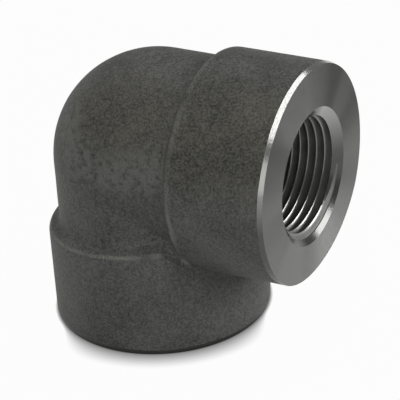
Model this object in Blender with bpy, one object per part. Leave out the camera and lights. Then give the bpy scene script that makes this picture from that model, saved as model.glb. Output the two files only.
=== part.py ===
"""Forged threaded pipe elbow, 90 degrees, size DN 25 (1 inch), class 3000.

One forged steel piece with machined ends. The lower leg stands on its end face and the side leg points
along +X. Both axes lie in the plane Y = 0 and cross inside the heel. Units are metres and +Z is up.
The origin is on the ground, under the middle of the outline.
"""

from math import cos, pi, radians, sin, tan

import bmesh
import bpy
from mathutils import Vector

# Outside of the forging
BAND_DIAMETER = 0.0560
CENTRE_TO_FACE = 0.0448
SIDE_BAND_LENGTH = 0.0246
LOWER_BAND_LENGTH = 0.0257
LOWER_BAND_SLANT = radians(6.1)
HEEL_BEND_RADIUS = 0.0022

# Shoulder behind each band, down to the round body: a rounded back edge, a slope and a hollow foot
SHOULDER_HEIGHT = 0.0029
SHOULDER_ROUND = 0.0024
SHOULDER_ANGLE = radians(58)
SHOULDER_FOOT = 0.0020
ROUNDS_SHARE = 0.95

# Turned edge of each end face
EDGE_CHAMFER_LENGTH = 0.0014
EDGE_CHAMFER_DEPTH = 0.00045

# Flash trimmed off the side band's underside, deepest at its end face
TRIM_DEPTH = 0.0021
TRIM_SPREAD = radians(68)

# Sockets: the taper thread's inner diameter at the end face, and the countersink round it
THREAD_BORE_DIAMETER = 0.0291
THREAD_TAPER = 1 / 16
THREAD_DEPTH = 0.0190
COUNTERSINK_WIDTH = 0.0028
COUNTERSINK_ANGLE = radians(55)

# Waterway: two drillings, a step inside the bores, that pass the crossing of the axes
WATERWAY_STEP = 0.0008
DRILL_OVERRUN = 0.0050
DRILL_POINT_ANGLE = radians(118)

# Fineness of the round shapes
ROUND_STEPS = 72
BEND_STEPS = 18
FILLET_STEPS = 4
CUT_CLEARANCE = 0.002
MERGE_DISTANCE = 0.000002
SHARP_ANGLE = radians(28)

STEEL_COLOUR = (0.075, 0.074, 0.068, 1.0)
STEEL_ROUGHNESS = 0.62
STEEL_METALLIC = 0.85

band_radius = BAND_DIAMETER / 2
body_radius = band_radius - SHOULDER_HEIGHT
bore_radius = THREAD_BORE_DIAMETER / 2
crossing = Vector(((band_radius - CENTRE_TO_FACE) / 2, 0, CENTRE_TO_FACE))


def clear_scene():
    for item in list(bpy.data.objects):
        bpy.data.objects.remove(item, do_unlink=True)


def forged_steel():
    material = bpy.data.materials.new("forged_steel")
    material.use_nodes = True
    shader = material.node_tree.nodes["Principled BSDF"]
    shader.inputs["Base Color"].default_value = STEEL_COLOUR
    shader.inputs["Roughness"].default_value = STEEL_ROUGHNESS
    shader.inputs["Metallic"].default_value = STEEL_METALLIC
    return material


def add_object(name, mesh, location, turn=(0, 0, 0)):
    bmesh.ops.recalc_face_normals(mesh, faces=mesh.faces)
    data = bpy.data.meshes.new(name)
    mesh.to_mesh(data)
    mesh.free()
    data.shade_smooth()
    data.set_sharp_from_angle(angle=SHARP_ANGLE)
    item = bpy.data.objects.new(name, data)
    bpy.context.scene.collection.objects.link(item)
    item.location = location
    item.rotation_euler = turn
    return item


def arc(centre, radius, start, end):
    """Points of an arc from angle start to angle end, as (radius, height) pairs."""
    angles = [start + (end - start) * step / FILLET_STEPS for step in range(FILLET_STEPS + 1)]
    return [(centre[0] + radius * cos(angle), centre[1] + radius * sin(angle)) for angle in angles]


def leg_profile(band_length):
    """Outline of one leg as (radius, height) points, from the rim of its end face in to the bend.

    Height runs along the leg's axis from the crossing of the two axes.
    """
    lean = SHOULDER_ANGLE
    band_back = CENTRE_TO_FACE - band_length
    rounds_height = (SHOULDER_ROUND + SHOULDER_FOOT) * (1 - cos(lean))
    fit = min(1, ROUNDS_SHARE * SHOULDER_HEIGHT / rounds_height)
    edge_round, foot_round = fit * SHOULDER_ROUND, fit * SHOULDER_FOOT
    slope_length = (SHOULDER_HEIGHT - fit * rounds_height) / sin(lean)
    edge_arc = arc((band_radius - edge_round, band_back), edge_round, 0, -lean)
    foot_start = (edge_arc[-1][0] - slope_length * sin(lean), edge_arc[-1][1] - slope_length * cos(lean))
    foot_centre = (foot_start[0] + foot_round * cos(lean), foot_start[1] - foot_round * sin(lean))
    foot_arc = arc(foot_centre, foot_round, pi - lean, pi)
    rim = (band_radius - EDGE_CHAMFER_DEPTH, CENTRE_TO_FACE)
    chamfer_end = (band_radius, CENTRE_TO_FACE - EDGE_CHAMFER_LENGTH)
    return [rim, chamfer_end] + edge_arc + foot_arc + [(body_radius, HEEL_BEND_RADIUS)]


def trimmed_radius(around):
    """Reach of the side band at its end face. Its underside, at angle 0, is flattened there."""
    if abs(around) >= TRIM_SPREAD:
        return band_radius
    return band_radius - TRIM_DEPTH * cos(pi / 2 * around / TRIM_SPREAD) ** 2


def trimmed(profile, around):
    """The profile with the trim on its rim and its chamfer. The band runs straight from there to its back."""
    limit = trimmed_radius(around)
    edge = [(min(radius, limit), height) for radius, height in profile[:2]]
    return edge + profile[2:]


def cut_at_mitre(profile, around):
    """One meridian of a leg, with all points past the legs' mitre plane moved to where it meets the plane.

    Angle 0 is the inside of the bend, where the leg reaches the plane at a height equal to its reach.
    """
    points = []
    cut = None
    before = profile[0]
    for point in profile:
        past = point[0] * cos(around) - point[1]
        if cut is None and past > 0:
            short = before[1] - before[0] * cos(around)
            share = short / (short + past)
            cut = tuple(low + (high - low) * share for low, high in zip(before, point))
        points.append(cut or point)
        before = point
    return points


def forging_outline(around):
    """Points along the whole forging at one angle, from the side face round the bend to the lower face.

    Outside the bend axis they swing about it. Inside, the legs meet on the mitre plane. The lower band's
    back edge is slanted: the band is longest on the inside of the bend.
    """
    lower_length = LOWER_BAND_LENGTH + band_radius * tan(LOWER_BAND_SLANT) * cos(around)
    side = cut_at_mitre(trimmed(leg_profile(SIDE_BAND_LENGTH), around), around)
    lower = cut_at_mitre(leg_profile(lower_length), around)
    bend_radius, bend_height = lower[-1]
    inward = bend_radius * cos(around)
    mitre = max(inward, bend_height)
    swing = mitre - inward
    points = [(height, radius * sin(around), -radius * cos(around)) for radius, height in side]
    for step in range(1, BEND_STEPS):
        turn = pi / 2 * step / BEND_STEPS
        points.append((mitre - swing * sin(turn), bend_radius * sin(around), swing * cos(turn) - mitre))
    points += [(radius * cos(around), radius * sin(around), -height) for radius, height in reversed(lower)]
    return points


def forging():
    """The outside of the forging: its outlines lofted round, closed by the two flat end faces."""
    mesh = bmesh.new()
    angles = [2 * pi * corner / ROUND_STEPS - pi for corner in range(ROUND_STEPS)]
    lines = [[mesh.verts.new(point) for point in forging_outline(around)] for around in angles]
    for line, after in zip(lines, lines[1:] + lines[:1]):
        for row in range(len(line) - 1):
            mesh.faces.new((line[row], line[row + 1], after[row + 1], after[row]))
    mesh.faces.new([line[0] for line in lines])
    mesh.faces.new([line[-1] for line in lines])
    bmesh.ops.remove_doubles(mesh, verts=mesh.verts, dist=MERGE_DISTANCE)
    return mesh


def socket_profile():
    """Outline of the space cut from one end: countersink, taper bore, drilled waterway and drill point."""
    side_taper = THREAD_TAPER / 2
    slope = tan(COUNTERSINK_ANGLE)
    countersink_depth = COUNTERSINK_WIDTH / (slope - side_taper)
    outside = CENTRE_TO_FACE + CUT_CLEARANCE
    thread_end = CENTRE_TO_FACE - THREAD_DEPTH
    end_radius = bore_radius - THREAD_DEPTH * side_taper
    waterway_radius = end_radius - WATERWAY_STEP
    return [
        (0, outside),
        (bore_radius + COUNTERSINK_WIDTH + CUT_CLEARANCE * slope, outside),
        (bore_radius - countersink_depth * side_taper, CENTRE_TO_FACE - countersink_depth),
        (end_radius, thread_end),
        (waterway_radius, thread_end - WATERWAY_STEP),
        (waterway_radius, -DRILL_OVERRUN),
        (0, -DRILL_OVERRUN - waterway_radius / tan(DRILL_POINT_ANGLE / 2)),
    ]


def turned(profile, first_corner):
    """Spin (radius, height) points, which start and end on the axis, into a closed solid round Z.

    first_corner is where the facets start, in steps, so that two solids that cross can differ there.
    """
    start = 2 * pi / ROUND_STEPS * first_corner
    mesh = bmesh.new()
    verts = [mesh.verts.new((reach * cos(start), reach * sin(start), height)) for reach, height in profile]
    edges = [mesh.edges.new(pair) for pair in zip(verts, verts[1:])]
    bmesh.ops.spin(mesh, geom=verts + edges, cent=(0, 0, 0), axis=(0, 0, 1), angle=2 * pi, steps=ROUND_STEPS)
    bmesh.ops.remove_doubles(mesh, verts=mesh.verts, dist=MERGE_DISTANCE)
    return mesh


def cut_socket(elbow, name, turn, first_corner):
    """Cut one socket with a tool whose local Z is the leg's axis, pointing out of the elbow."""
    cutter = add_object(name, turned(socket_profile(), first_corner), elbow.location, turn)
    cutter.hide_render = True
    cutter.display_type = "WIRE"
    modifier = elbow.modifiers.new(name, "BOOLEAN")
    modifier.operation = "DIFFERENCE"
    modifier.solver = "EXACT"
    modifier.object = cutter


def build():
    clear_scene()
    elbow = add_object("forged_elbow", forging(), crossing)
    elbow.data.materials.append(forged_steel())
    cut_socket(elbow, "lower_socket_cutter", (pi, 0, 0), 0.0)
    cut_socket(elbow, "side_socket_cutter", (0, pi / 2, 0), 0.5)


build()
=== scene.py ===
"""A forged and threaded pipe elbow with its finish, on a white floor under soft studio lamps.

Everything is in metres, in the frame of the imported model: the lower leg points down, the side leg along +X.
"""

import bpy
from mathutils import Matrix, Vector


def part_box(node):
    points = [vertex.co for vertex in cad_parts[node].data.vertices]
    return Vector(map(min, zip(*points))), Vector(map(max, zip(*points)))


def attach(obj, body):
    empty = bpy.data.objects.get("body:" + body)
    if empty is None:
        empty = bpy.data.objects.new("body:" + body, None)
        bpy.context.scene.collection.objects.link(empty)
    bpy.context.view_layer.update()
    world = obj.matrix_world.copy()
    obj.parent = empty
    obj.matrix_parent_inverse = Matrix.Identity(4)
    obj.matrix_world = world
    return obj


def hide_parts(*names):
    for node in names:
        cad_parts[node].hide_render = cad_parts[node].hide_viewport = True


bl_info = {
    "name": "Forged Pipe Elbow",
    "version": (1, 0, 0),
    "blender": (4, 5, 0),
    "location": "3D View > Sidebar > Elbow",
    "description": "Makes a forged, threaded pipe elbow with its finish, and a studio stage for it",
    "category": "Add Mesh",
}

from math import cos, pi, radians, sin, tan

import bmesh
import bpy
from bpy.props import FloatProperty, FloatVectorProperty, PointerProperty
from mathutils import Matrix, Vector, noise

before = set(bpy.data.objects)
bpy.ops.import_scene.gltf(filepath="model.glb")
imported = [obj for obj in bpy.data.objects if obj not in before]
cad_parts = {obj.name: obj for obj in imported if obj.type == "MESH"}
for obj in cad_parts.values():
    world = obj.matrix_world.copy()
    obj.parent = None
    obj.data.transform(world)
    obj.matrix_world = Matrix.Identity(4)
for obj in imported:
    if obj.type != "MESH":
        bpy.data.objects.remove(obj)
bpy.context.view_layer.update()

NODE = "forged_elbow"

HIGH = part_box(NODE)[1]
CAD_BAND_RADIUS = HIGH.y
CAD_CENTRE_TO_FACE = HIGH.z - HIGH.y
CROSSING = Vector((HIGH.x - CAD_CENTRE_TO_FACE, 0, CAD_CENTRE_TO_FACE))

# Fineness of the mesh: columns round an axis, and rows along each stretch of an outline
COLUMNS = 192
BAND_ROWS = 22
EDGE_ROWS = 8
SLOPE_ROWS = 3
FOOT_ROWS = 6
BODY_ROWS = 14
BEND_ROWS = 36
THREAD_COLUMNS = 144
FLANK_ROWS = 6
TOOL_COLUMNS = 160
MERGE = 0.000001
SHARP_ANGLE = radians(24)

# Forging: room behind each face for the chamfer, the fade-in of the crotch's fillet, the uneven skin
CHAMFER_ROOM = 0.0020
DEEPEST_CHAMFER = CHAMFER_ROOM * 0.97
SMALLEST_CHAMFER = 0.00006
SMOOTH_ROOM = CHAMFER_ROOM * 0.98
CROTCH_FADE = 0.009
SWELL_SIZE = 0.013
DIMPLE_SIZE = 0.0036
DIMPLE_SHIFT = Vector((7.1, 3.3, 5.7))

# Bores: the thread's form, with lengths as shares of its pitch, and the ends of the tools that cut
THREAD_FLAT = 0.07
THREAD_ROUND = 0.5
THREAD_TAPER = 1 / 32
SPARE_TURNS = 3
OUTSIDE = 0.0015
END_CONE = 0.0012
COUNTERSINK_TIP = 0.010
DRILL_START = 0.75
DRILL_POINT_ANGLE = radians(118)

# Surfaces, and how a face is told to be on one of them
FORGED, FACE, CHAMFER, BORE = range(4)
FACE_TOLERANCE = 0.000003
CONE_TOLERANCE = 0.000015
DEEPEST_BORE = 0.016
CHAMFER_TILT = 0.24

# Forged scale: sizes of its spots, its relief and its shine
SCALE_GRAIN = 0.00056
SCALE_MOTTLE = 0.0017
SCALE_CLOUD = 0.015
SCALE_SPECK = 0.0011
SCALE_RELIEF = 0.00018
SCALE_METALLIC = 0.15
SCALE_SPECULAR = 0.30

# The painted reflection across the heel lies along a plane: past it the scale is darker and browner, as a
# painted dark reflection, and along it runs a painted light streak.
# Here and below, a pair of places is where a look starts and where it is full.
PAINTED_STREAK_NORMAL = Vector((-0.058, -0.738, 0.672))
PAINTED_STREAK_DISTANCE = 0.0209
PAINTED_STREAK_FADE = (0.0045, 0.0006)
PAINTED_STREAK_TOP = (0.020, 0.013)
PAINTED_STREAK_END = (0.020, 0.014)
DARK_REFLECTION_FADE = (-0.001, 0.004)
DARK_REFLECTION_WANDER = 0.006

# Painted shade that darkens the scale in the crease between the legs, and scale that is paler at the bands'
# back edges
CREASE_SHADE_FADE = (0.0055, 0.0005)
CREASE_SHADE_START = (0.012, 0.024)
SIDE_PALE_WIDTH = 0.0018
LOWER_PALE_WIDTH = 0.0008
PALE_EDGE_DEPTH = 0.0003
PALE_EDGE_LOW = (0.004, -0.006)
PALE_PATCH = 0.007

# Turned faces and chamfers: rings, painted fans of sheen, grain, and where painted sheen and highlights make
# them brighter
RING_WIDTH = 0.0005
MARK_PITCH = 0.00024
FACE_RELIEF = 0.000075
SHEEN_FAN_SEED = 4.1
SHEEN_FAN_WIDTH = 0.8
SIDE_FACE = (HIGH.x - 0.001, HIGH.x - 0.0005)
FACE_SHEEN_DOWN = (0.026, -0.024)
FACE_SHEEN_FRONT = (0.020, -0.020)
CHAMFER_HIGHLIGHT_UP = (-0.004, 0.012)
CHAMFER_GRAIN = 0.0005
CUT_GRAIN = 0.0004
CUT_RELIEF = 0.00002

# Threads and bores: where the side bore starts, the crests' share of the thread's height, the oil's clouds
SIDE_BORE = (0.0190, 0.0195)
CREST_START = 0.40
CREST_FULL = 0.02
OIL_CLOUD = 0.004
OIL_SHADE = 0.75

# Camera's nearest distance
CLIP_START = 0.01

# Floor: how far it glows to each seeing ray, and its painted contact shadow, widest in front of the foot
SEEING_RAYS = ("Camera", "Glossy", "Transmission")
GLOW_SHARE = 0.97
CONTACT_POWER = 2.0
CONTACT_SAMPLES = 24
SIDE_REACH = 0.15
FRONT_FADE = (0.35, 1.0)
AWAY_RISE = 0.6
FLOOR_DROP = 0.0001


def length(name, text, default):
    return FloatProperty(name=name, description=text, default=default, unit="LENGTH", precision=5)


def angle(name, text, degrees):
    return FloatProperty(name=name, description=text, default=radians(degrees), subtype="ANGLE")


def colour(name, text, default):
    return FloatVectorProperty(name=name, description=text, default=default, size=3, subtype="COLOR")


class ElbowSizes(bpy.types.PropertyGroup):
    """Sizes of the elbow, as forged and as machined"""

    band_radius: length("Band radius", "Outside radius of both thick bands", CAD_BAND_RADIUS)
    centre_to_face: length("Centre to face", "From the axes' crossing to an end face", CAD_CENTRE_TO_FACE)
    side_band_length: length("Side band length", "From the side face to its band's back edge", 0.0246)
    lower_band_length: length("Lower band length", "From the lower face to its band's back edge", 0.0257)
    lower_band_slant: angle("Lower band slant", "Rise of the lower band's back edge to the side leg", 6.1)
    bend_radius: length("Heel bend radius", "Bend radius of the heel's centre line", 0.0022)
    shoulder_height: length("Shoulder height", "Step from the band down to the round body", 0.0029)
    shoulder_round: length("Shoulder round", "Radius of the band's back edge", 0.0024)
    shoulder_foot: length("Shoulder foot", "Hollow radius where the shoulder meets the body", 0.0020)
    shoulder_angle: angle("Shoulder angle", "Slope of the shoulder, from the leg's axis", 58)
    crotch_round: length("Crotch round", "Reach of the fillet between the two legs", 0.0018)
    trim_depth: length("Trim depth", "Depth of the flat trimmed on the side band's underside", 0.0021)
    trim_spread: angle("Trim spread", "Half the angle that the flat takes in", 68)
    trim_turn: angle("Trim turn", "How far the flat's middle lies from straight down", 12)
    skin_swell: length("Skin swell", "Height of the forging's broad unevenness", 0.00010)
    skin_dimple: length("Skin dimple", "Height of the forging's small unevenness", 0.00005)
    rim_radius: length("Rim radius", "Radius of both faces' turned rims", 0.02755)
    chamfer_slope: FloatProperty(name="Chamfer slope", description="Rise outwards per length", default=0.30)
    side_bore_right: length("Side bore right", "How far the side bore lies off its leg's axis, in Y", 0.0002)
    side_bore_up: length("Side bore up", "How far the side bore lies off its leg's axis, in Z", -0.0005)
    mouth_radius: length("Mouth radius", "Radius of the countersink at the face", 0.01735)
    countersink_angle: angle("Countersink angle", "Slope of the countersink, from the bore's axis", 55)
    thread_pitch: length("Thread pitch", "Distance between two turns of the thread", 0.0254 / 11.5)
    thread_inner_radius: length("Thread inner radius", "Radius of the thread's crests at the face", 0.01455)
    thread_height: length("Thread height", "Height of the thread, root to crest", 0.00168)
    thread_depth: length("Thread depth", "Length of the threaded bore from the face", 0.0190)
    thread_fade: length("Thread fade", "Length over which the last turns run out", 0.0042)
    thread_first: length("Thread first crest", "Depth of the first crest, at the bore's right", 0.00175)
    waterway_radius: length("Waterway radius", "Radius of the drilling behind the thread", 0.01316)
    drill_overrun: length("Drill overrun", "How far each drilling passes the crossing", 0.0050)


class ElbowFinish(bpy.types.PropertyGroup):
    """Colours and gloss of the elbow's surfaces"""

    scale_dark: colour("Scale, dark", "Forging scale in its dark grains", (0.017, 0.017, 0.014))
    scale_light: colour("Scale, light", "Forging scale in its light grains", (0.136, 0.136, 0.130))
    # Light grains inside the painted dark reflection across the heel, where they are darker and browner
    scale_in_dark_reflection: colour("Scale, tinted", "Light grains where the scale is browner", (0.133, 0.131, 0.109))
    # Colour mixed in where the scale is paler along the bands' back edges
    scale_pale_edge: colour("Scale, worn", "Forging scale rubbed off at an edge", (0.16, 0.16, 0.145))
    # The face's two colours are mixed by its rings and by painted sheen
    face_shade_and_dark_rings: colour("Turned face, dull", "Steel of the end faces where dull", (0.032, 0.033, 0.030))
    face_sheen_and_light_rings: colour("Turned face, bright", "Steel of the end faces where bright", (0.185, 0.185, 0.180))
    # The chamfers' two colours are mixed by grain and by a painted highlight on their upper parts
    chamfer_shade_and_dark_grain: colour("Chamfer, dull", "Chamfers and countersinks where dull", (0.085, 0.085, 0.082))
    chamfer_highlight_and_light_grain: colour("Chamfer, bright", "Chamfers and countersinks where bright", (0.28, 0.28, 0.27))
    thread_dark: colour("Thread, flank", "Oiled steel of bores and threads' flanks", (0.17, 0.17, 0.162))
    thread_crest: colour("Thread, crest", "Steel rubbed bright on the thread's crests", (0.28, 0.28, 0.27))


class ElbowStage(bpy.types.PropertyGroup):
    """Camera, floor and room"""

    azimuth: angle("Azimuth", "Camera's turn from the front towards the side port", 29.84)
    elevation: angle("Elevation", "Camera's height angle", 28.37)
    roll: angle("Roll", "Camera's roll", -3.825)
    distance: length("Distance", "From the crossing of the axes to the camera's plane", 0.53625)
    aim_right: length("Aim right", "How far right of the crossing the camera aims", 0.01201)
    aim_up: length("Aim up", "How far above the crossing the camera aims", -0.01396)
    lens: FloatProperty(name="Lens", description="Focal length in mm on a 36 mm sensor", default=191.73)
    floor_size: length("Floor size", "Side of the floor", 3.0)
    floor_colour: colour("Floor", "Colour of the floor", (0.36, 0.36, 0.36))
    room_colour: colour("Room", "Colour of the room round the stage", (0.34, 0.34, 0.34))
    contact_reach: length("Contact shadow", "Reach of the shadow close round the foot", 0.0066)


class Port:
    """One leg's axis: where it starts, where it points, and the right and up of someone looking into it."""

    def __init__(self, origin, axis, right, up):
        self.origin, self.axis, self.right, self.up = origin, Vector(axis), Vector(right), Vector(up)

    def point(self, reach, turn, height):
        return self.origin + self.axis * height + (self.right * cos(turn) + self.up * sin(turn)) * reach

    def height(self, point):
        return (point - self.origin).dot(self.axis)

    def reach(self, point):
        offset = point - self.origin
        return (offset - self.axis * offset.dot(self.axis)).length


def ports(sizes):
    """The bores' axes: the side one, which lies a little off the forging's axis, and the lower one."""
    off_axis = Vector((0, sizes.side_bore_right, sizes.side_bore_up))
    side = Port(CROSSING + off_axis, (1, 0, 0), (0, 1, 0), (0, 0, 1))
    lower = Port(CROSSING, (0, 0, -1), (0, 1, 0), (1, 0, 0))
    return side, lower


def skin(point, sizes):
    """Unevenness of the forging's skin at a point: a move along its normal, never above 0, so inwards."""
    swell = noise.noise(point / SWELL_SIZE)
    dimple = noise.noise(point / DIMPLE_SIZE + DIMPLE_SHIFT)
    return sizes.skin_swell * (swell - 1) / 2 + sizes.skin_dimple * (dimple - 1) / 2


def circle(count, first=0.0):
    """Angles round a full circle, one for each column. first turns them on by a share of a column."""
    return [2 * pi * (column + first) / count for column in range(count)]


def steps(start, end, count):
    return [start + (end - start) * step / count for step in range(1, count + 1)]


def leg_profile(band_length, sizes):
    """Outline of a leg, (reach, height) points from just behind the chamfer in to the bend plane."""
    lean = sizes.shoulder_angle
    edge, foot = sizes.shoulder_round, sizes.shoulder_foot
    back = sizes.centre_to_face - band_length
    body = sizes.band_radius - sizes.shoulder_height
    slope = (sizes.shoulder_height - (edge + foot) * (1 - cos(lean))) / sin(lean)
    start = sizes.centre_to_face - CHAMFER_ROOM
    points = [(sizes.band_radius, height) for height in [start] + steps(start, back, BAND_ROWS)]
    centre = sizes.band_radius - edge
    points += [(centre + edge * cos(turn), back - edge * sin(turn)) for turn in steps(0, lean, EDGE_ROWS)]
    reach, height = points[-1]
    rows = steps(0, slope, SLOPE_ROWS)
    points += [(reach - along * sin(lean), height - along * cos(lean)) for along in rows]
    reach, height = points[-1]
    centre = (reach + foot * cos(lean), height - foot * sin(lean))
    turns = steps(lean, 0, FOOT_ROWS)
    points += [(centre[0] - foot * cos(turn), centre[1] + foot * sin(turn)) for turn in turns]
    return points + [(body, height) for height in steps(points[-1][1], sizes.bend_radius, BODY_ROWS)]


def flattened(reach, around, height, sizes):
    """Reach of the side band where its trimmed flash left the underside flat, most at the end face."""
    off = (around - sizes.trim_turn + pi) % (2 * pi) - pi
    back = sizes.centre_to_face - sizes.side_band_length
    if abs(off) >= sizes.trim_spread or height <= back:
        return reach
    fade = (height - back) / sizes.side_band_length
    return reach - sizes.trim_depth * fade * cos(pi / 2 * off / sizes.trim_spread) ** 2


def cut_at_mitre(profile, around, clear):
    """One meridian of a leg. Its points less than clear from the mitre plane move to that distance."""
    points = []
    cut = None
    before = profile[0]
    for point in profile:
        past = point[0] * cos(around) + clear - point[1]
        if cut is None and past > 0:
            short = before[1] - before[0] * cos(around) - clear
            share = short / (short + past)
            cut = (before[0] + (point[0] - before[0]) * share, before[1] + (point[1] - before[1]) * share)
        points.append(cut or point)
        before = point
    return points


def rim_rows(band_reach, sizes):
    """Two (reach, height) points: the face's rim, and where the turned chamfer leaves the forged band."""
    face = sizes.centre_to_face
    depth = (band_reach - sizes.rim_radius) / sizes.chamfer_slope
    if depth < SMALLEST_CHAMFER:
        return [(band_reach, face)] * 2
    return [(sizes.rim_radius, face), (band_reach, face - min(depth, DEEPEST_CHAMFER))]


def side_place(reach, height, around):
    """A point of the side leg, from its reach, its height along the leg and its angle round it."""
    return CROSSING + Vector((height, reach * sin(around), -reach * cos(around)))


def lower_place(reach, height, around):
    """A point of the lower leg, given in the same way."""
    return CROSSING + Vector((reach * cos(around), reach * sin(around), -height))


def crotch_curve(side_leg, lower_leg, around, clear):
    """Points of the fillet between the legs, from one leg to the other past the corner that it rounds."""
    start = side_place(*cut_at_mitre(side_leg, around, clear)[-1], around)
    end = lower_place(*cut_at_mitre(lower_leg, around, clear)[-1], around)
    side_corner = side_place(*cut_at_mitre(side_leg, around, 0)[-1], around)
    lower_corner = lower_place(*cut_at_mitre(lower_leg, around, 0)[-1], around)
    corner = (side_corner + lower_corner) / 2
    shares = [row / BEND_ROWS for row in range(1, BEND_ROWS)]
    return [start * (1 - s) ** 2 + corner * 2 * s * (1 - s) + end * s ** 2 for s in shares]


def heel_curve(reach, height, around):
    """Points of the bend, swung about its axis from the side leg down to the lower leg."""
    inward, sideways = reach * cos(around), reach * sin(around)
    mitre = max(inward, height)
    swing = mitre - inward
    turns = [pi / 2 * row / BEND_ROWS for row in range(1, BEND_ROWS)]
    return [CROSSING + Vector((mitre - swing * sin(t), sideways, swing * cos(t) - mitre)) for t in turns]


def forging_line(around, sizes):
    """Points along the whole forging at one angle, from the side face round the bend to the lower face."""
    face = sizes.centre_to_face
    lower_length = sizes.lower_band_length + sizes.band_radius * tan(sizes.lower_band_slant) * cos(around)
    side_leg = leg_profile(sizes.side_band_length, sizes)
    side_leg = [(flattened(reach, around, height, sizes), height) for reach, height in side_leg]
    lower_leg = leg_profile(lower_length, sizes)
    side_edge = side_leg[0][0] + skin(side_place(side_leg[0][0], face, around), sizes)
    lower_edge = lower_leg[0][0] + skin(lower_place(lower_leg[0][0], face, around), sizes)

    body, bend = side_leg[-1]
    inside = min(max((body * cos(around) - bend) / CROTCH_FADE, 0), 1)
    clear = sizes.crotch_round * inside * inside * (3 - 2 * inside)
    side = cut_at_mitre(side_leg, around, clear)
    lower = cut_at_mitre(lower_leg, around, clear)
    if clear > 0:
        middle = crotch_curve(side_leg, lower_leg, around, clear)
    else:
        middle = heel_curve(*side[-1], around)
    start = [side_place(*point, around) for point in rim_rows(side_edge, sizes) + side]
    end = [lower_place(*point, around) for point in rim_rows(lower_edge, sizes) + lower]
    return start + middle + end[::-1]


def add_mesh(name, mesh):
    bmesh.ops.recalc_face_normals(mesh, faces=mesh.faces)
    data = bpy.data.meshes.new(name)
    mesh.to_mesh(data)
    mesh.free()
    item = bpy.data.objects.new(name, data)
    bpy.context.scene.collection.objects.link(item)
    return item


def join(mesh, line, after):
    """Faces between two lines of points that run side by side, as far as the shorter one goes."""
    for row in range(min(len(line), len(after)) - 1):
        mesh.faces.new((line[row], line[row + 1], after[row + 1], after[row]))


def roughen(mesh, sizes):
    """Move the skin's points by its unevenness, all but those of the turned faces and chamfers."""
    mesh.normal_update()
    limit = sizes.centre_to_face - SMOOTH_ROOM
    moves = []
    for vert in mesh.verts:
        out = vert.co - CROSSING
        if max(out.x, -out.z) < limit:
            moves.append((vert, vert.normal * skin(vert.co, sizes)))
    for vert, move in moves:
        vert.co += move


def forged_blank(sizes):
    """The solid forging: lines lofted round, closed by the flat end faces, with an uneven skin."""
    mesh = bmesh.new()
    angles = [turn - pi for turn in circle(COLUMNS)]
    lines = [[mesh.verts.new(point) for point in forging_line(around, sizes)] for around in angles]
    for line, after in zip(lines, lines[1:] + lines[:1]):
        join(mesh, line, after)
    mesh.faces.new([line[0] for line in lines])
    mesh.faces.new([line[-1] for line in lines])
    bmesh.ops.remove_doubles(mesh, verts=mesh.verts, dist=MERGE)
    bmesh.ops.recalc_face_normals(mesh, faces=mesh.faces)
    roughen(mesh, sizes)
    return add_mesh("elbow_steel", mesh)


def thread_rows():
    """(share of a pitch, height of the form from 0 at a crest to 1 at a root) along one turn of thread."""
    crest, root = THREAD_FLAT / 2, 0.5 - THREAD_FLAT / 2
    rising = [crest + (root - crest) * step / FLANK_ROWS for step in range(FLANK_ROWS + 1)]
    straight = [step / FLANK_ROWS for step in range(FLANK_ROWS + 1)]
    levels = [level * (1 - THREAD_ROUND) + (1 - cos(pi * level)) / 2 * THREAD_ROUND for level in straight]
    rise = list(zip(rising, levels))
    fall = [(1 - share, level) for share, level in reversed(rise)]
    return rise + fall


def helix_column(column, form, sizes):
    """(depth, reach) points down one column of the thread, whose helix shifts it by a share of a pitch."""
    last = sizes.thread_depth
    turns = int((last + OUTSIDE) / sizes.thread_pitch) + SPARE_TURNS
    start = sizes.thread_first - SPARE_TURNS * sizes.thread_pitch
    points = []
    for turn in range(turns + 1):
        for share, level in form:
            depth = start + sizes.thread_pitch * (turn + share - column / THREAD_COLUMNS)
            fade = min(max((last - depth) / sizes.thread_fade, 0), 1)
            crest = sizes.thread_inner_radius - depth * THREAD_TAPER
            points.append((depth, crest + sizes.thread_height * level * fade))
    return points


def cut_off(points, sizes):
    """A column's points with those past either end of the tool moved onto that end."""
    first, last = -OUTSIDE, sizes.thread_depth
    entry = next(index for index, (depth, reach) in enumerate(points) if depth >= first)
    before, after = points[entry - 1], points[entry]
    share = (first - before[0]) / (after[0] - before[0])
    mouth = (first, before[1] + (after[1] - before[1]) * share)
    end = (last, sizes.thread_inner_radius - last * THREAD_TAPER)
    return [mouth] * entry + [point if point[0] <= last else end for point in points[entry:]]


def end_cone(mesh, port, rim, sizes):
    """Close the thread's tool, past its rim, with a short cone that runs inside the waterway."""
    inner = sizes.waterway_radius - END_CONE
    step = sizes.thread_inner_radius - sizes.thread_depth * THREAD_TAPER - inner
    height = sizes.centre_to_face - sizes.thread_depth - step
    ring = [mesh.verts.new(port.point(inner, turn, height)) for turn in circle(THREAD_COLUMNS)]
    for column in range(THREAD_COLUMNS):
        after = (column + 1) % THREAD_COLUMNS
        mesh.faces.new((rim[column], rim[after], ring[after], ring[column]))
    mesh.faces.new(ring)


def threaded_tool(name, port, sizes):
    """Closed tool that cuts a taper thread. The last column meets the first one turn further down."""
    form = thread_rows()
    mesh = bmesh.new()
    columns = []
    for column, turn in enumerate(circle(THREAD_COLUMNS)):
        points = cut_off(helix_column(column, form, sizes), sizes)
        places = [port.point(reach, turn, sizes.centre_to_face - depth) for depth, reach in points]
        columns.append([mesh.verts.new(place) for place in places])
    for here, after in zip(columns, columns[1:]):
        join(mesh, here, after)
    join(mesh, columns[-1][len(form):], columns[0])
    mesh.faces.new([column[0] for column in columns])
    end_cone(mesh, port, [column[-1] for column in columns], sizes)
    bmesh.ops.remove_doubles(mesh, verts=mesh.verts, dist=MERGE)
    return add_mesh(name, mesh)


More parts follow.
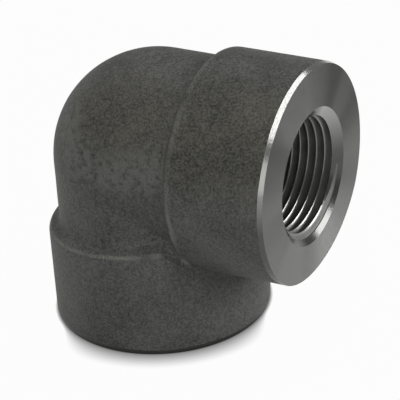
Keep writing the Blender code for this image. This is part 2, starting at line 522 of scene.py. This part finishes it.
def turned_tool(name, port, outline):
    """Closed tool turned about a port's axis from (reach, height) points that start and end on the axis."""
    mesh = bmesh.new()
    caps = [mesh.verts.new(port.point(0, 0, outline[end][1])) for end in (0, -1)]
    turns = circle(TOOL_COLUMNS, 0.5)
    rings = []
    for reach, height in outline[1:-1]:
        rings.append([mesh.verts.new(port.point(reach, turn, height)) for turn in turns])
    for column in range(TOOL_COLUMNS):
        after = (column + 1) % TOOL_COLUMNS
        mesh.faces.new((caps[0], rings[0][column], rings[0][after]))
        mesh.faces.new((caps[1], rings[-1][after], rings[-1][column]))
        for ring, below in zip(rings, rings[1:]):
            mesh.faces.new((ring[column], below[column], below[after], ring[after]))
    return add_mesh(name, mesh)


def countersink_outline(sizes):
    """(reach, height) points of the countersink's tool, whose cone ends inside the thread's bore."""
    face, slope = sizes.centre_to_face, tan(sizes.countersink_angle)
    tip = face - (sizes.mouth_radius - COUNTERSINK_TIP) / slope
    mouth = sizes.mouth_radius + OUTSIDE * slope
    return [(0, face + OUTSIDE), (mouth, face + OUTSIDE), (COUNTERSINK_TIP, tip), (0, tip)]


def drill_outline(sizes):
    """(reach, height) points of the waterway's drill, from inside the thread past the axes' crossing."""
    start = sizes.centre_to_face - sizes.thread_depth * DRILL_START
    radius = sizes.waterway_radius
    tip = sizes.drill_overrun + radius / tan(DRILL_POINT_ANGLE / 2)
    return [(0, start), (radius, start), (radius, -sizes.drill_overrun), (0, -tip)]


def cut(target, tools):
    """Cut closed tools out of the target in turn, and remove them."""
    for tool in tools:
        modifier = target.modifiers.new(tool.name, "BOOLEAN")
        modifier.operation = "DIFFERENCE"
        modifier.solver = "MANIFOLD"
        modifier.object = tool
    bpy.context.view_layer.update()
    graph = bpy.context.evaluated_depsgraph_get()
    result = bpy.data.meshes.new_from_object(target.evaluated_get(graph))
    if len(result.polygons) in (0, len(target.data.polygons)):
        raise RuntimeError("The tools didn't cut " + target.name)
    target.modifiers.clear()
    target.data = result
    for tool in tools:
        bpy.data.objects.remove(tool)


def on_countersink(height, reach, sizes):
    """Whether a place lies on the cone of a port's countersink."""
    depth = sizes.centre_to_face - height
    return abs(sizes.mouth_radius - reach - depth * tan(sizes.countersink_angle)) < CONE_TOLERANCE


def surface_of(point, normal, sizes, bores):
    """Which of the elbow's surfaces a face belongs to, by its place and the way it looks."""
    for port in bores:
        height, reach = port.height(point), port.reach(point)
        if height > sizes.centre_to_face - FACE_TOLERANCE:
            return FACE
        if on_countersink(height, reach, sizes):
            return CHAMFER
        if reach < sizes.mouth_radius + FACE_TOLERANCE and height > -DEEPEST_BORE:
            return BORE
        if height > sizes.centre_to_face - CHAMFER_ROOM and normal.dot(port.axis) > CHAMFER_TILT:
            return CHAMFER
    return FORGED


def finish_surfaces(item, sizes, materials):
    """Give each face its surface's material, smooth shading, and sharp edges where surfaces meet."""
    bores = ports(sizes)
    data = item.data
    data.materials.clear()
    for material in materials:
        data.materials.append(material)
    mesh = bmesh.new()
    mesh.from_mesh(data)
    for face in mesh.faces:
        face.material_index = surface_of(face.calc_center_median(), face.normal, sizes, bores)
        face.smooth = True
    for edge in mesh.edges:
        kinds = {face.material_index for face in edge.link_faces}
        edge.smooth = len(kinds) == 1 and edge.calc_face_angle(0) < SHARP_ANGLE
    mesh.to_mesh(data)
    mesh.free()


class Value:
    """One output socket of a material. Arithmetic on it adds Math nodes."""

    def __init__(self, tree, socket):
        self.tree, self.socket = tree, socket

    def math(self, operation, *values):
        return self.tree.add("ShaderNodeMath", {"operation": operation}, dict(enumerate(values)))

    def __add__(self, other):
        return self.math("ADD", self, other)

    def __sub__(self, other):
        return self.math("SUBTRACT", self, other)

    def __rsub__(self, other):
        return self.math("SUBTRACT", other, self)

    def __mul__(self, other):
        return self.math("MULTIPLY", self, other)

    def __truediv__(self, other):
        return self.math("DIVIDE", self, other)

    def __rtruediv__(self, other):
        return self.math("DIVIDE", other, self)

    def __pow__(self, other):
        return self.math("POWER", self, other)

    def __abs__(self):
        return self.math("ABSOLUTE", self)

    __radd__ = __add__
    __rmul__ = __mul__

    def ramp(self, low, high):
        """0 below low, 1 above high, and smooth between them. low may lie above high."""
        if low > high:
            return 1 - self.ramp(high, low)
        settings = {"interpolation_type": "SMOOTHSTEP"}
        inputs = {"Value": self, "From Min": low, "From Max": high, "To Min": 0.0, "To Max": 1.0}
        return self.tree.add("ShaderNodeMapRange", settings, inputs)

    def spread(self, width):
        """A noise stretched from 0 to 1 over a width round its middle value, which is a half."""
        return self.ramp(0.5 - width / 2, 0.5 + width / 2)


class Tree:
    """The nodes of one material."""

    def __init__(self, name):
        self.material = bpy.data.materials.new(name)
        self.material.use_nodes = True
        self.nodes = self.material.node_tree.nodes
        self.nodes.clear()

    def add(self, kind, settings, inputs, output=0):
        """Add a node: its settings first, then the values or links of its sockets. Gives one output."""
        node = self.nodes.new(kind)
        for name, value in settings.items():
            setattr(node, name, value)
        for name, value in inputs.items():
            socket = node.inputs[name]
            if isinstance(value, Value):
                self.material.node_tree.links.new(value.socket, socket)
            elif socket.type == "RGBA" and len(value) == 3:
                socket.default_value = (*value, 1.0)
            else:
                socket.default_value = value
        return Value(self, node.outputs[output]) if node.outputs else None

    def place(self):
        return self.add("ShaderNodeTexCoord", {}, {}, "Object")

    def parts(self, vector):
        return [self.add("ShaderNodeSeparateXYZ", {}, {0: vector}, axis) for axis in "XYZ"]

    def noise(self, vector, size, detail=2.0, roughness=0.5):
        inputs = {"Vector": vector, "Scale": 1 / size, "Detail": detail, "Roughness": roughness}
        return self.add("ShaderNodeTexNoise", {}, inputs)

    def cells(self, vector, size):
        return self.add("ShaderNodeTexVoronoi", {}, {"Vector": vector, "Scale": 1 / size}, "Distance")

    def combine(self, x, y, z):
        return self.add("ShaderNodeCombineXYZ", {}, {0: x, 1: y, 2: z})

    def mix(self, factor, low, high):
        """Mix two colours. The node has sockets of the same name for each type, so they go by number."""
        inputs = {0: factor, 6: low, 7: high}
        return self.add("ShaderNodeMix", {"data_type": "RGBA"}, inputs, 2)

    def bump(self, height, distance):
        inputs = {"Strength": 1.0, "Distance": distance, "Height": height}
        return self.add("ShaderNodeBump", {}, inputs)

    def finish(self, colour, metallic, roughness, normal, **constants):
        inputs = {"Base Color": colour, "Metallic": metallic, "Roughness": roughness, "Normal": normal}
        shader = self.add("ShaderNodeBsdfPrincipled", {}, {**inputs, **constants})
        self.add_output(shader)
        return self.material

    def add_output(self, shader):
        self.add("ShaderNodeOutputMaterial", {}, {"Surface": shader})


def from_axis(first, second):
    """Distance from an axis, given the two coordinates across it."""
    return (first * first + second * second) ** 0.5


def bore_reach(place, on_side, sizes):
    """Distance from the side bore's axis where on_side is 1, and from the lower bore's where it is 0."""
    x, y, z = place
    side_reach = from_axis(y - sizes.side_bore_right, z - CROSSING.z - sizes.side_bore_up)
    lower_reach = from_axis(y, x - CROSSING.x)
    return side_reach * on_side + lower_reach * (1 - on_side)


def pale_edge(along, reach, back, width, sizes):
    """1 on the rounded back edge of a band, fading to 0 at a width off it."""
    off = from_axis(along - back + sizes.shoulder_round / 2, reach - sizes.band_radius + PALE_EDGE_DEPTH)
    return off.ramp(width, width * 0.2)


def pale_band_edges(right, y, up, sizes):
    """1 where the scale is paler along both bands' back edges, which is most low on the side band, and 0
    elsewhere.
    """
    side_back = sizes.centre_to_face - sizes.side_band_length
    lower_back = sizes.centre_to_face - sizes.lower_band_length - right * tan(sizes.lower_band_slant)
    side_pale_edge = pale_edge(right, from_axis(y, up), side_back, SIDE_PALE_WIDTH, sizes)
    lower_pale_edge = pale_edge(0 - up, from_axis(y, right), lower_back, LOWER_PALE_WIDTH, sizes)
    return side_pale_edge * (0.55 + 0.75 * up.ramp(*PALE_EDGE_LOW)) + lower_pale_edge


def heel_painted_reflection(right, y, up, cloud, mottle):
    """Painted reflection across the heel: how far the scale is darker and browner, as a painted dark
    reflection, and how light the painted streak along its edge is.
    """
    past = up * PAINTED_STREAK_NORMAL.z + right * PAINTED_STREAK_NORMAL.x + y * PAINTED_STREAK_NORMAL.y - PAINTED_STREAK_DISTANCE
    # Painted reflection: past the plane the scale is darker and browner, as a painted dark reflection
    dark_reflection = (past + (cloud - 0.5) * DARK_REFLECTION_WANDER).ramp(*DARK_REFLECTION_FADE)
    # Painted highlight: a light streak along the plane, at the painted reflection's edge
    light = abs(past).ramp(*PAINTED_STREAK_FADE) * mottle.ramp(0.32, 0.62)
    return dark_reflection, light * up.ramp(*PAINTED_STREAK_TOP) * right.ramp(*PAINTED_STREAK_END)


def forged_scale(sizes, finish):
    """Dark, matt, speckled forging scale, paler at the bands' back edges, with painted shade in the crease
    between the legs and a painted reflection across the heel.
    """
    tree = Tree("forged_scale")
    place = tree.place()
    x, y, z = tree.parts(place)
    right, up = x - CROSSING.x, z - CROSSING.z
    grain = tree.noise(place, SCALE_GRAIN, 3.0, 0.7)
    mottle = tree.noise(place, SCALE_MOTTLE, 3.0, 0.6)
    cloud = tree.noise(place, SCALE_CLOUD, 2.0)
    speck = tree.cells(place, SCALE_SPECK).ramp(0.30, 0.05)
    spots = grain.spread(0.36) * 0.60 + mottle.spread(0.44) * 0.20 + cloud.spread(0.32) * 0.20
    # Painted dark reflection and painted light streak across the heel
    dark_reflection, streak_highlight = heel_painted_reflection(right, y, up, cloud, mottle)
    # Painted shade: the scale is darker in the crease between the legs
    crease_shade = abs(right + up).ramp(*CREASE_SHADE_FADE) * right.ramp(*CREASE_SHADE_START)
    shade = (spots + (1 - spots) * streak_highlight * 0.62 - dark_reflection * 0.05) * (1 - crease_shade * 0.36)
    colour = tree.mix(shade, finish.scale_dark, tree.mix(dark_reflection, finish.scale_light, finish.scale_in_dark_reflection))
    patches = tree.noise(place, PALE_PATCH, 3.0).ramp(0.28, 0.52) * grain.ramp(0.2, 0.6)
    colour = tree.mix(pale_band_edges(right, y, up, sizes) * patches, colour, finish.scale_pale_edge)

    roughness = 0.50 + mottle * 0.16 + grain * 0.08
    relief = tree.bump(grain * 0.7 + mottle * 0.8 - speck * 0.35, SCALE_RELIEF)
    specular = {"Specular IOR Level": SCALE_SPECULAR}
    return tree.finish(colour, SCALE_METALLIC, roughness, relief, **specular)


def turning_marks(reach):
    """Fine grooves that a lathe tool leaves, as a height from 0 to 1."""
    return 0.5 + 0.5 * reach.math("SINE", reach * (2 * pi / MARK_PITCH))


def turned_face(sizes, finish):
    """Flat end face with a lathe's fine rings, and painted sheen: broad painted fans of light and dark,
    lighter low on the side face and towards the front.
    """
    tree = Tree("turned_face")
    place = tree.place()
    x, y, z = tree.parts(place)
    up = z - CROSSING.z
    on_side = x.ramp(*SIDE_FACE)
    reach = bore_reach((x, y, z), on_side, sizes)
    rings = tree.noise(tree.combine(reach, 0.0, 0.0), RING_WIDTH, 4.0, 0.7)
    # Painted sheen: broad fans of light and dark round the face's centre
    sheen_fans = tree.noise(tree.combine(y / reach, up / reach, SHEEN_FAN_SEED), SHEEN_FAN_WIDTH, 2.0).spread(0.30)
    grain = tree.noise(place, CUT_GRAIN, 2.0)
    # Painted sheen: the side face is lighter towards its bottom, and the lower face keeps an even middle tone
    low = up.ramp(*FACE_SHEEN_DOWN) * on_side + 0.4 * (1 - on_side)
    # Painted sheen: lighter towards the front, darker towards the back
    front = y.ramp(*FACE_SHEEN_FRONT) * 0.22 - 0.11
    tone = low * 0.85 + front + sheen_fans * 0.32 + rings * 0.30 - 0.17
    colour = tree.mix(tone, finish.face_shade_and_dark_rings, finish.face_sheen_and_light_rings)
    roughness = 0.40 + rings * 0.08 + grain * 0.04
    relief = tree.bump(turning_marks(reach) * 0.7 + rings * 0.5, FACE_RELIEF)
    return tree.finish(colour, 1.0, roughness, relief)


def bright_chamfer(finish):
    """Bright turned steel of the chamfers and countersinks, with a painted highlight that makes their upper
    parts lighter.
    """
    tree = Tree("bright_chamfer")
    place = tree.place()
    up = tree.parts(place)[2] - CROSSING.z
    grain = tree.noise(place, CHAMFER_GRAIN, 3.0)
    # Painted highlight: the chamfers and countersinks are lighter on their upper parts
    tone = up.ramp(*CHAMFER_HIGHLIGHT_UP) + grain * 0.3 - 0.15
    colour = tree.mix(tone, finish.chamfer_shade_and_dark_grain, finish.chamfer_highlight_and_light_grain)
    return tree.finish(colour, 1.0, 0.16 + grain * 0.10, tree.bump(grain, CUT_RELIEF))


def cut_thread(sizes, finish):
    """Dark, oiled steel of the threads and the drillings, rubbed bright on the threads' crests."""
    tree = Tree("cut_thread")
    place = tree.place()
    x, y, z = tree.parts(place)
    right = x - CROSSING.x
    on_side = right.ramp(*SIDE_BORE)
    reach = bore_reach((x, y, z), on_side, sizes)
    along = right * on_side + (CROSSING.z - z) * (1 - on_side)
    off_crest = reach - sizes.thread_inner_radius + (sizes.centre_to_face - along) * THREAD_TAPER
    crest = off_crest.ramp(sizes.thread_height * CREST_START, sizes.thread_height * CREST_FULL)

    grain = tree.noise(place, CUT_GRAIN, 3.0)
    cloud = tree.noise(place, OIL_CLOUD, 2.0)
    oiled = [level * OIL_SHADE for level in finish.thread_dark]
    flank = tree.mix(cloud.spread(0.30), oiled, finish.thread_dark)
    colour = tree.mix(crest, flank, finish.thread_crest)
    roughness = 0.42 - crest * 0.18 + grain * 0.08 + cloud * 0.06
    return tree.finish(colour, 0.35 + crest * 0.65, roughness, tree.bump(grain, CUT_RELIEF))


class ELBOW_OT_steel(bpy.types.Operator):
    """Make the elbow's steel: the forging, its turned faces, its bores and threads"""

    bl_idname = "elbow.steel"
    bl_label = "Elbow Steel"

    def execute(self, context):
        sizes, finish = context.scene.elbow_sizes, context.scene.elbow_finish
        steel = forged_blank(sizes)
        tools = []
        for name, port in zip(("side", "lower"), ports(sizes)):
            tools.append(threaded_tool(name + "_tap", port, sizes))
            tools.append(turned_tool(name + "_countersink", port, countersink_outline(sizes)))
            tools.append(turned_tool(name + "_drill", port, drill_outline(sizes)))
        cut(steel, tools)
        materials = [
            forged_scale(sizes, finish),
            turned_face(sizes, finish),
            bright_chamfer(finish),
            cut_thread(sizes, finish),
        ]
        finish_surfaces(steel, sizes, materials)
        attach(steel, "root")
        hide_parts(NODE)
        return {"FINISHED"}


def look_matrix(stage):
    """Place and turn of the camera, from the angles it sees the elbow under."""
    side, rise = stage.azimuth, stage.elevation
    back = Vector((sin(side) * cos(rise), -cos(side) * cos(rise), sin(rise)))
    right = Vector((cos(side), sin(side), 0))
    up = back.cross(right)
    rolled_right = right * cos(stage.roll) + up * sin(stage.roll)
    rolled_up = up * cos(stage.roll) - right * sin(stage.roll)
    place = CROSSING + rolled_right * stage.aim_right + rolled_up * stage.aim_up + back * stage.distance
    matrix = Matrix((rolled_right, rolled_up, back)).transposed().to_4x4()
    matrix.translation = place
    return matrix


def add_camera(stage):
    data = bpy.data.cameras.new("camera")
    data.lens = stage.lens
    data.clip_start = CLIP_START
    camera = bpy.data.objects.new("camera", data)
    camera.matrix_world = look_matrix(stage)
    bpy.context.scene.collection.objects.link(camera)
    bpy.context.scene.camera = camera


def white_floor(stage):
    """White to the camera and in reflections, but for a painted contact shadow, darkest close round its foot;
    the lamps' own shadow shows only faintly.
    """
    tree = Tree("white_floor")
    x, y, z = tree.parts(tree.place())
    right, front = sin(stage.azimuth), cos(stage.azimuth)
    forward = ((x - CROSSING.x) * right - y * front) / CAD_BAND_RADIUS
    distance = stage.contact_reach * (SIDE_REACH + (1 - SIDE_REACH) * forward.ramp(*FRONT_FADE))
    away = Vector((-right, front, AWAY_RISE)).normalized()
    inputs = {"Distance": distance, "Normal": away}
    # Painted contact shadow: the glow follows ambient occlusion, reaching farther in front of the foot than
    # at its sides
    openness = tree.add("ShaderNodeAmbientOcclusion", {"samples": CONTACT_SAMPLES}, inputs, "AO")
    light = {"Color": (1, 1, 1), "Strength": openness ** CONTACT_POWER}
    glow = tree.add("ShaderNodeEmission", {}, light)
    matt = tree.add("ShaderNodeBsdfDiffuse", {}, {"Color": stage.floor_colour})
    rays = [tree.add("ShaderNodeLightPath", {}, {}, "Is %s Ray" % kind) for kind in SEEING_RAYS]
    share = sum(rays) * GLOW_SHARE
    tree.add_output(tree.add("ShaderNodeMixShader", {}, {0: share, 1: matt, 2: glow}))
    return tree.material


def add_floor(stage):
    mesh = bmesh.new()
    bmesh.ops.create_grid(mesh, x_segments=1, y_segments=1, size=stage.floor_size / 2)
    floor = add_mesh("floor", mesh)
    floor.location.z = -FLOOR_DROP
    floor.data.materials.append(white_floor(stage))


def add_lamp(name, place, aim, size, watts, spin=0.0):
    """A lamp of a width and a height, turned by spin about the line to its aim."""
    data = bpy.data.lights.new(name, "AREA")
    data.shape = "RECTANGLE"
    data.size, data.size_y = size
    data.energy = watts
    lamp = bpy.data.objects.new(name, data)
    lamp.location = place
    turned = (Vector(place) - Vector(aim)).to_track_quat("Z", "Y").to_matrix()
    lamp.rotation_euler = (turned @ Matrix.Rotation(spin, 3, "Z")).to_euler()
    bpy.context.scene.collection.objects.link(lamp)


def add_lamps():
    """A long strip overhead, a window at the right, and two wide, weak fills."""
    strip = {"size": (0.10, 1.15), "watts": 1.8, "spin": radians(9.1)}
    add_lamp("overhead", place=(0.032, 0.13, 0.66), aim=(0.032, 0.13, 0.0), **strip)
    add_lamp("right_window", place=(0.90, 0.56, 0.36), aim=CROSSING, size=(0.56, 0.34), watts=6.0)
    add_lamp("front_fill", place=(0.40, -1.00, 0.40), aim=CROSSING, size=(1.60, 0.70), watts=4.6)
    add_lamp("left_fill", place=(-0.85, 0.00, 0.75), aim=CROSSING, size=(0.70, 0.70), watts=1.3)


def add_room(stage):
    world = bpy.data.worlds.new("room")
    world.use_nodes = True
    world.node_tree.nodes["Background"].inputs["Color"].default_value = (*stage.room_colour, 1.0)
    bpy.context.scene.world = world


class ELBOW_OT_stage(bpy.types.Operator):
    """Make the stage: the camera, the white floor, the lamps and the room round them"""

    bl_idname = "elbow.stage"
    bl_label = "Elbow Stage"

    def execute(self, context):
        stage = context.scene.elbow_stage
        add_camera(stage)
        add_floor(stage)
        add_lamps()
        add_room(stage)
        context.scene.view_settings.view_transform = "Standard"
        return {"FINISHED"}


class ELBOW_PT_panel(bpy.types.Panel):
    """Sizes, colours and buttons of the elbow"""

    bl_idname = "ELBOW_PT_panel"
    bl_label = "Forged Elbow"
    bl_space_type = "VIEW_3D"
    bl_region_type = "UI"
    bl_category = "Elbow"

    def draw(self, context):
        for group in (context.scene.elbow_sizes, context.scene.elbow_finish, context.scene.elbow_stage):
            box = self.layout.box()
            for name in group.__annotations__:
                box.prop(group, name)
        for operator in OPERATORS:
            self.layout.operator(operator.bl_idname)


GROUPS = (("elbow_sizes", ElbowSizes), ("elbow_finish", ElbowFinish), ("elbow_stage", ElbowStage))
OPERATORS = (ELBOW_OT_steel, ELBOW_OT_stage)


def register():
    for name, group in GROUPS:
        bpy.utils.register_class(group)
        setattr(bpy.types.Scene, name, PointerProperty(type=group))
    for item in (*OPERATORS, ELBOW_PT_panel):
        bpy.utils.register_class(item)


def unregister():
    for item in (ELBOW_PT_panel, *reversed(OPERATORS)):
        bpy.utils.unregister_class(item)
    for name, group in reversed(GROUPS):
        delattr(bpy.types.Scene, name)
        bpy.utils.unregister_class(group)


def main():
    register()
    bpy.ops.elbow.steel()
    bpy.ops.elbow.stage()
    bpy.context.view_layer.update()


if __name__ == "__main__":
    main()
